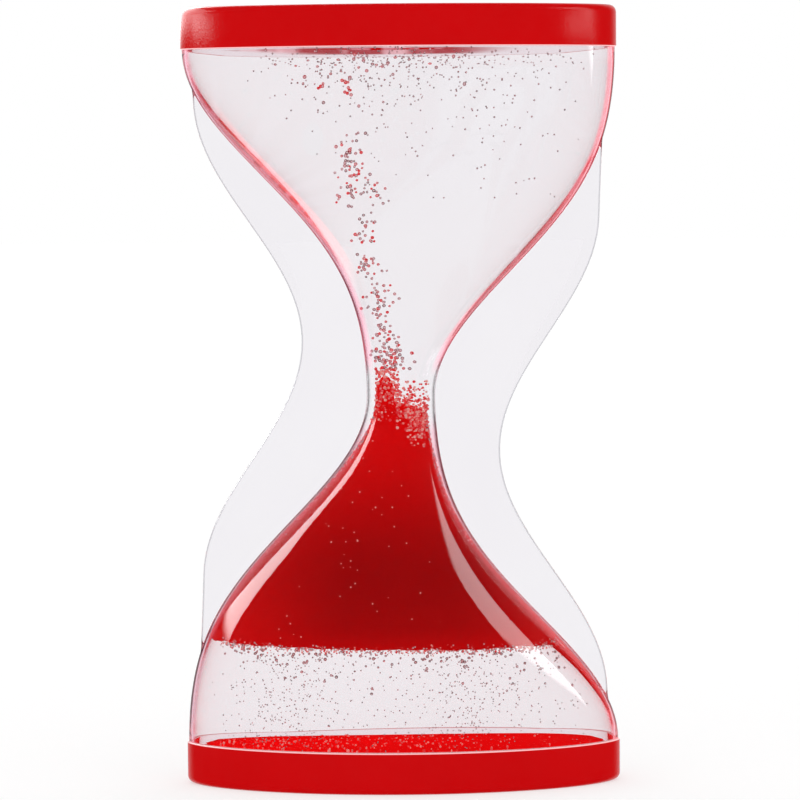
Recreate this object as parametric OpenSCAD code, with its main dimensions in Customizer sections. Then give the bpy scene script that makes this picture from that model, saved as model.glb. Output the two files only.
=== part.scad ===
// Rising-bead sand timer: a clear liquid-filled hourglass between two red caps.
// Z is up, the timer stands on z = 0, its axis is x = y = 0, and its front faces -Y.

/* [Overall] */
// Height of the timer, from cap face to cap face
overall_h = 134; // [120:1:160]
// Width of a cap, from tip to tip
cap_w = 75; // [66:1:84]
// Depth of a cap, front to back
cap_d = 36; // [32:1:42]

/* [Caps] */
// Height of a cap
cap_h = 7.2; // [6.6:0.1:9]
// Thickness of a cap's outer face
cap_floor = 2; // [1.6:0.1:2.4]
// Thickness of a cap's skirt
cap_skirt = 1.5; // [1.2:0.1:1.8]
// Radius of a cap's outer edge
cap_edge_r = 1.3; // [0.6:0.1:1.4]
// Sharpness of the lens-shaped plan at its tips, where 1 is an ellipse
lens_power = 1.25; // [1:0.05:1.4]

/* [Chamber] */
// Step from the cap's side in to the clear body's side
body_inset = 0.3; // [0.1:0.1:0.6]
// Width of the chamber over its walls at the neck
neck_w = 11.8; // [10:0.2:15]
// Depth of the chamber over its walls at the neck
neck_d = 11.2; // [10:0.2:15]
// Sideways sway of the chamber, right above the neck and left below it
sway = 5.3; // [0:0.1:6]
// Thickness of the clear wall
wall = 1.2; // [1:0.1:1.6]

/* [Webs] */
// Thickness of the flat side webs, both halves together
web_t = 2; // [1.4:0.1:2.6]
// Height of the slope where a web runs into the chamber wall
web_root = 0.5; // [0.3:0.1:0.8]
// Distance of each web's edge in from the body's side at mid-height, before its notch
web_setback = 3.3; // [2:0.1:5]
// How far each web's edge leans out towards the caps
web_flare = 2; // [0:0.1:3]
// Depth of the rounded notch in each web
notch_depth = 16.9; // [10:0.1:18]
// Distance of a notch's middle from mid-height, up on the left and down on the right
notch_shift = 9.8; // [0:0.1:12]
// Half of a notch's height
notch_half_h = 40.5; // [34:0.5:46]

/* [End plugs] */
// Thickness of the plate that closes the chamber
plug_plate = 1.6; // [1.2:0.1:2]
// Thickness of the rim under that plate
plug_wall = 1.6; // [1.2:0.1:2.2]
// Drop of the plate's wet face below the cap's rim
plug_drop = 0.2; // [0.1:0.1:0.6]
// Diameter of the filling hole in the upper plug
fill_hole_d = 4; // [3:0.5:6]
// Diameter of the stopper's head
stopper_head_d = 7; // [6.5:0.5:10]
// Thickness of the stopper's head
stopper_head_t = 1.2; // [0.8:0.1:1.4]

/* [Beads] */
// Diameter of a bead
bead_d = 0.84; // [0.5:0.02:0.9]
// Height of the bead mass's lower face on the axis
mass_bottom_z = 23; // [16:0.5:32]
// Fall of that face over the chamber's width, down to the right
mass_fall = 2.4; // [0:0.1:3]
// Height of the bead mass's tip above mid-height
mass_tip_h = 4; // [2:0.5:6]
// Width of that tip
mass_tip_w = 6; // [4:0.2:7]
// Height of the topmost rising bead above mid-height
plume_top_h = 45; // [40:0.5:46]
// Radius of the column of rising beads
plume_r = 1.7; // [1.5:0.1:2]
// Sideways lean of the column over its height, to the left
plume_lean = 8.8; // [0:0.1:10]
// Travel of the rising beads
rise_travel = 11; // [6:0.5:11]
// Number of beads gathered under the roof
roof_count = 90; // [40:10:110]
// Number of beads hanging under the bead mass
hanging_count = 70; // [30:10:90]

/* [Fits] */
// Gap between two glued walls
glue_gap = 0.1; // [0.05:0.05:0.2]
// Gap between the end of the chamber's spigot and the cap's floor
spigot_gap = 0.3; // [0.2:0.1:0.6]
// Gap round the stopper's shank
stopper_gap = 0.05; // [0.02:0.01:0.1]
// Gap between the filling and the chamber wall
film_gap = 0.1; // [0.05:0.05:0.2]
// Room round the rising beads
bead_room = 0.4; // [0.3:0.1:0.6]

/* [Hidden] */

red = [0.80, 0.01, 0.02];
deep_red = [0.62, 0.0, 0.02];
clear_plastic = [0.93, 0.92, 0.95, 0.35];
clear_liquid = [0.95, 0.94, 0.96, 0.25];
milky = [0.90, 0.88, 0.86];

mid_z = overall_h / 2;
// Half the height of the clear body between the caps' rims
body_u = mid_z - cap_h;
body_w = cap_w - 2 * body_inset;
body_d = cap_d - 2 * body_inset;
// Half sizes of the spigot inside a cap, outside and inside
spigot_a = cap_w / 2 - cap_skirt - glue_gap;
spigot_b = cap_d / 2 - cap_skirt - glue_gap;
bore_a = spigot_a - wall;
bore_b = spigot_b - wall;
// Half sizes of an end plug
plug_a = bore_a - glue_gap;
plug_b = bore_b - glue_gap;
floor_z = cap_h - plug_drop;
roof_z = overall_h - floor_z;
web_half_t = web_t / 2;

arc_steps = 20;
lens_points = 4 * arc_steps;
filling_points = 2 * arc_steps;
body_levels = 34;
edge_steps = 4;
golden_angle = 137.508;
round_fn = 48;

function mix(p, q, f) = p + (q - p) * f;
function clamp01(f) = max(0, min(1, f));

// Share of the way from mid-height to a cap's rim
function rise(u) = clamp01(abs(u) / body_u);

// Middle and half sizes of the chamber, over its walls, at height u from mid-height
function sway_x(u) = sign(u) * sway * pow(sin(180 * rise(u)), 2);
function swell(u) = pow(sin(90 * rise(u)), 2);
function half_w(u) = mix(neck_w, body_w, swell(u)) / 2;
function half_d(u) = mix(neck_d, body_d, swell(u)) / 2;

// Middle and half sizes of the hollow at height z: it narrows to the spigot near the caps
function hollow_share(u) = clamp01((body_u - abs(u) - wall) / wall);
function hollow(z, gap = 0) =
    let (u = z - mid_z, f = hollow_share(u))
    [
        sway_x(u),
        mix(bore_a, half_w(u) - wall, f) - gap,
        mix(bore_b, half_d(u) - wall, f) - gap,
    ];

// Half width of a web at height v, where its notch lies at +notch_shift
function notch(v) = notch_depth * (1 + cos(180 * clamp01(abs(v - notch_shift) / notch_half_h))) / 2;
function web_half_w(v) = body_w / 2 - web_setback + web_flare * pow(v / body_u, 2) - notch(v);

// Lens-shaped plan with half sizes a and b
function lens_at(a, b, t) = [a * cos(t), b * sign(sin(t)) * pow(abs(sin(t)), lens_power)];
function lens(a, b, n = lens_points) = [for (i = [0 : n - 1]) lens_at(a, b, 360 * i / n)];
function ring_at(outline, z, x = 0) = [for (p = outline) [p[0] + x, p[1], z]];

// Solid through a list of rings with the same number of points. The faces in end_faces close
// the first ring and, turned round, the last one: without them each end is one convex face.
module loft(rings, end_faces = []) {
    n = len(rings[0]);
    last = len(rings) - 1;
    sides = [
        for (k = [0 : last - 1], i = [0 : n - 1])
            let (j = (i + 1) % n, a = k * n + i, b = k * n + j)
            each [[a, a + n, b + n], [a, b + n, b]]
    ];
    first_end = len(end_faces) > 0 ? end_faces : [[for (i = [0 : n - 1]) i]];
    last_end = [for (f = first_end) [for (i = [len(f) - 1 : -1 : 0]) last * n + f[i]]];
    polyhedron([for (r = rings) each r], concat(sides, first_end, last_end));
}

module lens_plate(a, b, h) {
    linear_extrude(h) polygon(lens(a, b));
}

module turned_over() {
    translate([0, 0, overall_h]) mirror([0, 0, 1]) children();
}

// Half shell: each level is its height outside, its height inside, and if it is out of the caps
low_levels = [
    [cap_floor + spigot_gap, cap_floor + spigot_gap, false],
    [cap_h, cap_h + wall / 4, false],
    [cap_h, cap_h + wall / 2, true],
    [cap_h + wall, cap_h + wall, true],
    [cap_h + 2 * wall, cap_h + 2 * wall, true],
];
low_last = cap_h + 2 * wall;
middle_z = [for (i = [1 : body_levels - 1]) mix(low_last, overall_h - low_last, i / body_levels)];
shell_levels = concat(
    low_levels,
    [for (z = middle_z) [z, z, true]],
    [for (i = [len(low_levels) - 1 : -1 : 0])
        let (l = low_levels[i]) [overall_h - l[0], overall_h - l[1], l[2]]]
);

function outside(z, in_body) =
    let (u = z - mid_z)
    in_body ? [sway_x(u), half_w(u), half_d(u)] : [0, spigot_a, spigot_b];

function shell_ring(z, inner_z, in_body) =
    let (
        u = z - mid_z,
        o = outside(z, in_body),
        h = hollow(inner_z),
        left = in_body ? min(o[0] - o[1], -web_half_w(u)) : -spigot_a,
        right = in_body ? max(o[0] + o[1], web_half_w(-u)) : spigot_a,
        t0 = asin(pow((web_half_t + web_root) / o[2], 1 / lens_power)),
        front = [for (i = [0 : arc_steps]) lens_at(o[1], -o[2], mix(180 - t0, t0, i / arc_steps))],
        inner = [for (i = [0 : arc_steps]) lens_at(h[1], -h[2], 180 * i / arc_steps)]
    )
    concat(
        [[left, 0, z], [left, -web_half_t, z]],
        ring_at(front, z, o[0]),
        [[right, -web_half_t, z], [right, 0, z]],
        ring_at(inner, inner_z, h[0])
    );

// Faces across the wall at the end of a half shell: the two rims, then the arc between them
inner_first = arc_steps + 5;
inner_last = inner_first + arc_steps;
shell_end = concat(
    [[0, 1, 2], [0, 2, inner_last]],
    [[arc_steps + 2, arc_steps + 3, arc_steps + 4], [arc_steps + 2, arc_steps + 4, inner_first]],
    [
        for (k = [0 : arc_steps - 1])
            let (o = 2 + k, i = inner_last - k)
            each [[o, o + 1, i - 1], [o, i - 1, i]]
    ]
);

module front_shell() {
    color(clear_plastic)
    loft([for (l = shell_levels) shell_ring(l[0], l[1], l[2])], shell_end);
}

module rear_shell() {
    color(clear_plastic) mirror([0, 1, 0]) front_shell();
}

// Cap: a lens-shaped cup with a rounded outer edge
function cap_ring(inset, z) = ring_at(lens(cap_w / 2 - inset, cap_d / 2 - inset), z);

module bottom_cap() {
    edge = [
        for (i = [0 : edge_steps])
            let (t = 90 * i / edge_steps)
            cap_ring(cap_edge_r * (1 - sin(t)), cap_edge_r * (1 - cos(t)))
    ];
    color(red)
    difference() {
        loft(concat(edge, [cap_ring(0, cap_h)]));
        translate([0, 0, cap_floor])
            lens_plate(cap_w / 2 - cap_skirt, cap_d / 2 - cap_skirt, cap_h);
    }
}

module top_cap() {
    color(red) turned_over() bottom_cap();
}

// End plug: a tray that stands on the cap's floor and closes the chamber with its plate
module lower_end_plug() {
    color(red)
    difference() {
        translate([0, 0, cap_floor]) lens_plate(plug_a, plug_b, floor_z - cap_floor);
        lens_plate(plug_a - plug_wall, plug_b - plug_wall, floor_z - plug_plate);
    }
}

module upper_end_plug() {
    color(red)
    difference() {
        turned_over() lower_end_plug();
        translate([0, 0, roof_z - plug_plate])
            cylinder(h = 3 * plug_plate, d = fill_hole_d, $fn = round_fn);
    }
}

// Stopper: its shank fills the hole, and its head lies on the plate's dry side
module fill_stopper() {
    color(milky)
    translate([0, 0, roof_z]) {
        cylinder(h = plug_plate, d = fill_hole_d - 2 * stopper_gap, $fn = round_fn);
        translate([0, 0, plug_plate])
            cylinder(h = stopper_head_t, d = stopper_head_d, $fn = round_fn);
    }
}

// Heights of the filling's rings between two heights, level with the chamber's own rings
function levels_between(low_z, high_z) = concat(
    [low_z],
    [for (l = shell_levels) if (l[1] > low_z + level_gap && l[1] < high_z - level_gap) l[1]],
    [high_z]
);

// Filling: rings that keep film_gap from the wall, with an optional tilt of their height
function filling_ring(z, fall = 0, squeeze = 1) =
    let (h = hollow(z, film_gap))
    [
        for (i = [0 : filling_points - 1])
            let (
                level = h[0] + h[1] * cos(360 * i / filling_points),
                zi = z - fall * level / body_w,
                hi = hollow(zi, film_gap),
                p = lens_at(hi[1] * squeeze, hi[2] * squeeze, 360 * i / filling_points)
            )
            [p[0] + hi[0], p[1], zi]
    ];

mass_tip_z = mid_z + mass_tip_h;
// The mass draws in to its tip over this height at the neck
mass_neck_z = mid_z - mass_tip_h;
tip_squeeze = mass_tip_w / (neck_w - 2 * wall - 2 * film_gap);
layer_t = bead_d + 2 * film_gap;
// Least height between two rings of the filling
level_gap = wall / 4;

module bead_mass() {
    rings = [
        for (z = levels_between(mass_bottom_z, mass_neck_z))
            filling_ring(z, mass_fall * (mass_neck_z - z) / (mass_neck_z - mass_bottom_z))
    ];
    color(deep_red) loft(concat(rings, [filling_ring(mass_tip_z, 0, tip_squeeze)]));
}

module lower_liquid() {
    top_z = mass_bottom_z - layer_t;
    color(clear_liquid)
    loft([
        for (z = levels_between(floor_z + film_gap, top_z))
            filling_ring(z, mass_fall * clamp01((z - low_last) / (top_z - low_last)))
    ]);
}

// Column of rising beads: it leans left as it climbs
plume_low_z = mass_tip_z + bead_d;
plume_top_z = mid_z + plume_top_h;
plume_pitch = bead_d + film_gap;
function plume_x(z) = -plume_lean * (z - plume_low_z) / (plume_top_z - plume_low_z);

module plume_way() {
    side = plume_r + bead_d / 2 + bead_room;
    way_top_z = roof_z;
    rotate([90, 0, 0])
        linear_extrude(2 * side, center = true)
        polygon([
            [plume_x(plume_low_z) - side, mid_z],
            [plume_x(plume_low_z) + side, mid_z],
            [plume_x(plume_low_z) + side, plume_low_z + rise_travel],
            [plume_x(way_top_z - rise_travel) + side, way_top_z],
            [plume_x(way_top_z) - side, way_top_z],
        ]);
}

module upper_liquid() {
    low_z = mass_tip_z + film_gap;
    top_z = roof_z - layer_t;
    color(clear_liquid)
    difference() {
        loft([for (z = levels_between(low_z, top_z)) filling_ring(z)]);
        plume_way();
    }
}

module bead() {
    sphere(d = bead_d, $fn = round_fn);
}

module rising_beads() {
    layers = floor((plume_top_z - plume_low_z) / plume_pitch);
    color(red)
    for (i = [0 : layers], j = [0 : 1]) {
        z = plume_low_z + i * plume_pitch;
        reach = mix(bead_d, plume_r, (1 + sin(i * golden_angle / 2)) / 2);
        turn = i * golden_angle + j * 180;
        translate([plume_x(z) + reach * cos(turn), reach * sin(turn), z]) bead();
    }
}

// Beads spread over a lens-shaped layer of the chamber, in a golden-angle spiral
module bead_layer(count, z, fall = 0) {
    h = hollow(z, 2 * bead_d);
    for (i = [0 : count - 1]) {
        reach = sqrt((i + 0.5) / count);
        p = lens_at(h[1] * reach, h[2] * reach, i * golden_angle);
        x = p[0] + h[0];
        translate([x, p[1], z - fall * x / body_w]) bead();
    }
}

module roof_beads() {
    color(red) bead_layer(roof_count, roof_z - bead_d / 2 - film_gap);
}

module hanging_beads() {
    color(red) bead_layer(hanging_count, mass_bottom_z - bead_d / 2 - film_gap, mass_fall);
}

front_shell();
rear_shell();
top_cap();
bottom_cap();
upper_end_plug();
lower_end_plug();
fill_stopper();
upper_liquid();
lower_liquid();
bead_mass();
rising_beads();
roof_beads();
hanging_beads();
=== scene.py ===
"""Looks of a rising-bead sand timer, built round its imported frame.

Each piece is a mesh that follows the frame's own formulas and stands in place of its solids. All lengths
are in metres, Z is up, the timer stands on z = 0 and its front faces -Y.
"""

import logging
import math
import random
from dataclasses import dataclass, field
from enum import Enum
from typing import Any

import bmesh
import bpy
import numpy as np
from mathutils import Matrix, Vector, noise


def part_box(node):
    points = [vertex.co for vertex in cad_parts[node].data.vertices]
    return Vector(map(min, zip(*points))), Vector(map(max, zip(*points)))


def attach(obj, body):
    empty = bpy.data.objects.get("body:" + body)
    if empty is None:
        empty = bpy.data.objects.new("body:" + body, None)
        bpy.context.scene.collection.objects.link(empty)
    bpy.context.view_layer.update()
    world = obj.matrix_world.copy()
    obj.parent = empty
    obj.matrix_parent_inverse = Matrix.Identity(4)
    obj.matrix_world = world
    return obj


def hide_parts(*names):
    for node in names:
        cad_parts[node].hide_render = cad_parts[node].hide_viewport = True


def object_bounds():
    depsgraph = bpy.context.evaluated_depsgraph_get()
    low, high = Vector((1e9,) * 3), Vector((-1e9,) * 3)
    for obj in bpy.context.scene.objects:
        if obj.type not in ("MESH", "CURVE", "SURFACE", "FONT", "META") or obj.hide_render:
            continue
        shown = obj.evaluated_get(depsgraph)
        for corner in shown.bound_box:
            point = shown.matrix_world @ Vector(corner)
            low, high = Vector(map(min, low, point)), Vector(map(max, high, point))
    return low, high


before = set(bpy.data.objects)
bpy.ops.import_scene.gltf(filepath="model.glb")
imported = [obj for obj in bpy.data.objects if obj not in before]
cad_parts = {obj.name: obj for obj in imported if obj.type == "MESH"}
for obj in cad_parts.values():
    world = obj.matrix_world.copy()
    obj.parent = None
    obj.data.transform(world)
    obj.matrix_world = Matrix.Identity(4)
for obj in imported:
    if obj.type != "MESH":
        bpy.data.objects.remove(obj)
CAD_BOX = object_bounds()

MM = 0.001
PLASTIC_IOR = 1.49
LIQUID_IOR = 1.18
# Refractive index of the beads and plugs against the liquid round them
WET_IOR = 1.06
# Corners of a piece that lie closer than this are one
WELD = 0.0005 * MM
# Names of the values that meshes hold at their corners
WALL_INSET = "wall_inset"
WEB_INSET = "web_inset"
BEAD_TONE = "tone"
BEAD_LIT_CORE = "lit_core"
LOG = logging.getLogger("sand_timer")

Colour = tuple[float, float, float]
Point = tuple[float, float, float]
Span = tuple[float, float]
Corners = tuple[int, ...]
# A Spread and the numbers that it takes
Draw = tuple[Any, ...]

BLACK: Colour = (0.0, 0.0, 0.0)
WHITE: Colour = (1.0, 1.0, 1.0)


def mix(first: float, second: float, share: float) -> float:
    """Value that lies the given share of the way from first to second."""
    return first + (second - first) * share


def clamp01(value: float) -> float:
    """Value held between 0 and 1."""
    return max(0.0, min(1.0, value))


def smooth_max(first: float, second: float, blend: float) -> float:
    """Larger of two lengths, which run into each other where they differ by less than blend."""
    near = max(blend - abs(first - second), 0.0) / blend
    return max(first, second) + near * near * blend / 4


def turns(count: int) -> list[float]:
    """Angles in radians of even steps round a full turn."""
    return [2 * math.pi * i / count for i in range(count)]


def circle(radius: float, z: float, around: int) -> list[Point]:
    """Ring of corners on a circle round the axis."""
    return [(radius * math.cos(t), radius * math.sin(t), z) for t in turns(around)]


def rounding(radius: float, steps: int) -> list[Span]:
    """Insets of a rounded edge from its upright face and from its flat one, starting at the upright face."""
    quarter = [math.pi / 2 * i / steps for i in range(steps + 1)]
    return [(radius * (1 - math.cos(t)), radius * (1 - math.sin(t))) for t in quarter]


class End(Enum):
    """End of the timer that a piece closes."""

    BOTTOM = "bottom"
    TOP = "top"


class Half(Enum):
    """Half of the clear body, by the side of the parting plane that it lies on."""

    FRONT = -1
    REAR = 1


class Face(Enum):
    """Faces of a clear half, by what lies on their other side. The value is the refractive index."""

    DRY = PLASTIC_IOR
    WET = PLASTIC_IOR / LIQUID_IOR
    WELDED = 1.0


class Body(Enum):
    """Bodies of the frame that pieces ride on."""

    TIMER = "timer"
    RISING = "rising_beads"


class Spread(Enum):
    """How a number is drawn: between two ends, round a middle, or between two ends with a peak."""

    EVEN = "uniform"
    ROUND = "gauss"
    PEAKED = "triangular"


class Value:
    """Shader socket whose operators add Math nodes."""

    def __init__(self, nodes: "Nodes", socket: bpy.types.NodeSocket) -> None:
        """Wraps an output socket of the given tree."""
        self.nodes = nodes
        self.socket = socket

    def math(self, operation: str, *values: "Value | float") -> "Value":
        """Math node of the given operation on the values."""
        return self.nodes.add("ShaderNodeMath", {"operation": operation}, dict(enumerate(values)))

    def __add__(self, other: "Value | float") -> "Value":
        """Sum."""
        return self.math("ADD", self, other)

    def __sub__(self, other: "Value | float") -> "Value":
        """Difference."""
        return self.math("SUBTRACT", self, other)

    def __rsub__(self, other: float) -> "Value":
        """Difference with a number on the left."""
        return self.math("SUBTRACT", other, self)

    def __mul__(self, other: "Value | float") -> "Value":
        """Product."""
        return self.math("MULTIPLY", self, other)

    __radd__ = __add__
    __rmul__ = __mul__

    def __abs__(self) -> "Value":
        """Size without sign."""
        return self.math("ABSOLUTE", self)

    def ramp(self, low: float, high: float) -> "Value":
        """Smooth step from 0 at low to 1 at high."""
        settings = {"interpolation_type": "SMOOTHSTEP"}
        return self.nodes.add("ShaderNodeMapRange", settings, {"Value": self, 1: low, 2: high})

    def band(self, start: Span, end: Span) -> "Value":
        """Share that rises from 0 to 1 over start and falls back to 0 over end."""
        return self.ramp(*start) * (1 - self.ramp(*end))


class Nodes:
    """Node tree of a material, a light or the world."""

    def __init__(self, tree: bpy.types.NodeTree) -> None:
        """Works on the given tree."""
        self.tree = tree

    def add(
        self,
        kind: str,
        settings: dict[str, Any] | None = None,
        inputs: dict[int | str, Any] | None = None,
        output: int | str = 0,
    ) -> Value:
        """Adds a node.

        Args:
            kind: Type of the node.
            settings: Properties of the node, which are set first.
            inputs: Values or links of its sockets, by name or number.
            output: Socket that the result reads.

        Returns:
            The chosen output.
        """
        node = self.tree.nodes.new(kind)
        for name, setting in (settings or {}).items():
            setattr(node, name, setting)
        self.fill(node, inputs or {})
        return Value(self, node.outputs[output])

    def fill(self, node: bpy.types.Node, inputs: dict[int | str, Any]) -> None:
        """Links or sets input sockets of a node.

        Args:
            node: The node.
            inputs: Wrapped outputs, numbers or colours, by the name or number of the socket.
        """
        for name, value in inputs.items():
            socket = node.inputs[name]
            if isinstance(value, Value):
                self.tree.links.new(value.socket, socket)
            else:
                socket.default_value = (*value, 1.0) if socket.type == "RGBA" else value

    def blend(self, share: Value | float, first: Any, second: Any) -> Value:
        """Colour that goes from first to second with share."""
        inputs = {0: share, 6: first, 7: second}
        return self.add("ShaderNodeMix", {"data_type": "RGBA"}, inputs, output=2)

    def place(self) -> Value:
        """Position on the piece in the frame's own metres."""
        return self.add("ShaderNodeTexCoord", output="Object")

    def along(self, axis: str, place: Value | None = None) -> Value:
        """One coordinate, X, Y or Z, of the position on the piece or of another vector."""
        return self.add("ShaderNodeSeparateXYZ", None, {0: place or self.place()}, output=axis)

    def painted(self, name: str) -> Value:
        """Value that the mesh holds at its corners under a name."""
        return self.add("ShaderNodeAttribute", {"attribute_name": name}, output="Fac")

    def cloud(self, grain: float, along: Point = (1.0, 1.0, 1.0)) -> Value:
        """Noise between 0 and 1 whose lumps are about one grain wide, or longer where along is below 1."""
        place = self.add("ShaderNodeVectorMath", {"operation": "MULTIPLY"}, {0: self.place(), 1: along})
        return self.add("ShaderNodeTexNoise", None, {"Vector": place, "Scale": 1 / grain})

    def specks(self, pitch: float) -> Value:
        """Distance to the nearest of many scattered points, as a share of their pitch."""
        return self.add("ShaderNodeTexVoronoi", None, {"Vector": self.place(), "Scale": 1 / pitch})

    def bump(self, height: Value, depth: float, strength: float) -> Value:
        """Normal tilted by a height field that is depth metres tall."""
        inputs = {"Height": height, "Distance": depth, "Strength": strength}
        return self.add("ShaderNodeBump", None, inputs)


class Finish:
    """Base of the finishes: makes its material once and keeps it."""

    made: dict[str, bpy.types.Material] = {}
    name: str

    def sockets(self, nodes: Nodes) -> dict[str, Any]:
        """Wrapped outputs, numbers and colours for the Principled shader, by the name of its socket."""
        raise NotImplementedError

    def material(self) -> bpy.types.Material:
        """Makes the finish's material on the first call.

        Returns:
            The material.
        """
        if self.name not in self.made:
            material = bpy.data.materials.new(self.name)
            material.use_nodes = True
            nodes = Nodes(material.node_tree)
            nodes.fill(material.node_tree.nodes["Principled BSDF"], self.sockets(nodes))
            self.made[self.name] = material
        return self.made[self.name]

    def dress(self, piece: bpy.types.Object) -> None:
        """Gives a piece this finish as its next material."""
        piece.data.materials.append(self.material())


@dataclass(frozen=True)
class ClearPlastic(Finish):
    """Clear moulded plastic of the two halves, with the red light that the chamber's side walls carry painted
    on them as a pink tint and a red glow.
    """

    face: Face = Face.DRY
    tint: Colour = (0.966, 0.959, 0.972)
    flow_tint: Colour = (0.946, 0.934, 0.952)
    flow_grain: float = 22 * MM
    # Painted shade: grey along the webs' rounded outer edges, and the insets over which it fades out
    edge_shade_grey: Colour = (0.50, 0.50, 0.53)
    edge_shade_fade: Span = (0.18 * MM, 0.36 * MM)
    wet_gleam: Colour = (0.1, 0.1, 0.1)
    wave_grain: float = 9 * MM
    wave_depth: float = 0.02 * MM
    wave_strength: float = 0.3
    dullest: float = 0.012
    neck_z: float = 67 * MM
    neck_fade: Span = (3 * MM, 7 * MM)
    wall_start: Span = (-0.1 * MM, 0.3 * MM)
    wall_end: Span = (1.0 * MM, 1.6 * MM)
    # Painted reflection and light: pink tint of the side walls, and the red glows on their left and right
    painted_wall_pink: Colour = (0.78, 0.58, 0.66)
    left_glow: Colour = (0.24, 0.06, 0.09)
    right_glow: Colour = (0.42, 0.035, 0.05)
    right_fade: Span = (4 * MM, 10 * MM)
    streak_grain: float = 3 * MM
    streak_least: float = 0.65
    streak_gain: float = 0.6
    low_share: float = 0.5
    low_fade: Span = (60 * MM, 76 * MM)
    # Deeper red painted glow on the upper left wall, with the insets, heights and sideways places of its
    # borders
    deep_glow: Colour = (0.46, 0.035, 0.04)
    deep_start: Span = (1.1 * MM, 1.8 * MM)
    deep_end: Span = (2.6 * MM, 3.6 * MM)
    deep_low: Span = (84 * MM, 96 * MM)
    deep_high: Span = (106 * MM, 120 * MM)
    deep_right: Span = (-12 * MM, -4 * MM)

    @property
    def name(self) -> str:
        """Name of the finish on this face."""
        return f"clear_plastic_{self.face.name.lower()}"

    def sockets(self, nodes: Nodes) -> dict[str, Any]:
        """Works out what the Principled shader gets on this face.

        Args:
            nodes: Tree of the material.

        Returns:
            Values by the name of the socket.
        """
        colour = nodes.blend(nodes.cloud(self.flow_grain), self.tint, self.flow_tint)
        extra: dict[str, Any] = {}
        if self.face is Face.DRY:
            inset = nodes.painted(WALL_INSET)
            on_wall = abs(nodes.along("Z") - self.neck_z).ramp(*self.neck_fade)
            on_wall *= inset.band(self.wall_start, self.wall_end)
            # Painted shade: a thin grey line along the webs' rounded outer edges
            on_shaded_edge = 1 - nodes.painted(WEB_INSET).ramp(*self.edge_shade_fade)
            colour = nodes.blend(on_shaded_edge, colour, self.edge_shade_grey)
            # Painted reflection and light: the side walls turn pink and glow red, for the red light that they
            # carry
            colour = nodes.blend(on_wall, colour, self.painted_wall_pink)
            extra = {"Emission Color": self.wall_light(nodes, inset, on_wall), "Emission Strength": 1.0}
        if self.face is Face.WET:
            extra = {"Specular Tint": self.wet_gleam}
        return {
            "Base Color": colour,
            "Normal": nodes.bump(nodes.cloud(self.wave_grain), self.wave_depth, self.wave_strength),
            "Roughness": nodes.cloud(self.wave_grain) * self.dullest,
            "Transmission Weight": 1.0,
            "IOR": self.face.value,
            **extra,
        }

    def wall_light(self, nodes: Nodes, inset: Value, on_wall: Value) -> Value:
        """Painted red light of the beads and caps along the chamber's side walls, which glow in place of
        carrying it.

        Args:
            nodes: Tree of the material.
            inset: Sideways distance in from the chamber's outer edge.
            on_wall: Share of the side walls.

        Returns:
            Its colour, black at the neck and away from the walls.
        """
        x, z = nodes.along("X"), nodes.along("Z")
        streaks = self.streak_least + self.streak_gain * nodes.cloud(self.streak_grain)
        height = self.low_share + (1 - self.low_share) * z.ramp(*self.low_fade)
        deep = inset.band(self.deep_start, self.deep_end) * z.band(self.deep_low, self.deep_high)
        deep *= 1 - x.ramp(*self.deep_right)
        side_glow = nodes.blend(x.ramp(*self.right_fade), self.left_glow, self.right_glow)
        light = nodes.blend(on_wall * streaks * height, BLACK, side_glow)
        return nodes.blend(deep, light, self.deep_glow)


@dataclass(frozen=True)
class ClearLiquid(Finish):
    """Clear liquid that fills the chamber. The wet face of the plastic bends the light for it."""

    name: str = "clear_liquid"
    tint: Colour = (0.985, 0.980, 0.988)
    warm_tint: Colour = (0.985, 0.970, 0.965)
    swirl_grain: float = 26 * MM
    ior: float = 1.0

    def sockets(self, nodes: Nodes) -> dict[str, Any]:
        """What the Principled shader gets, by the name of its socket."""
        colour = nodes.blend(nodes.cloud(self.swirl_grain), self.tint, self.warm_tint)
        return {"Base Color": colour, "Roughness": 0.0, "Transmission Weight": 1.0, "IOR": self.ior}


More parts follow.
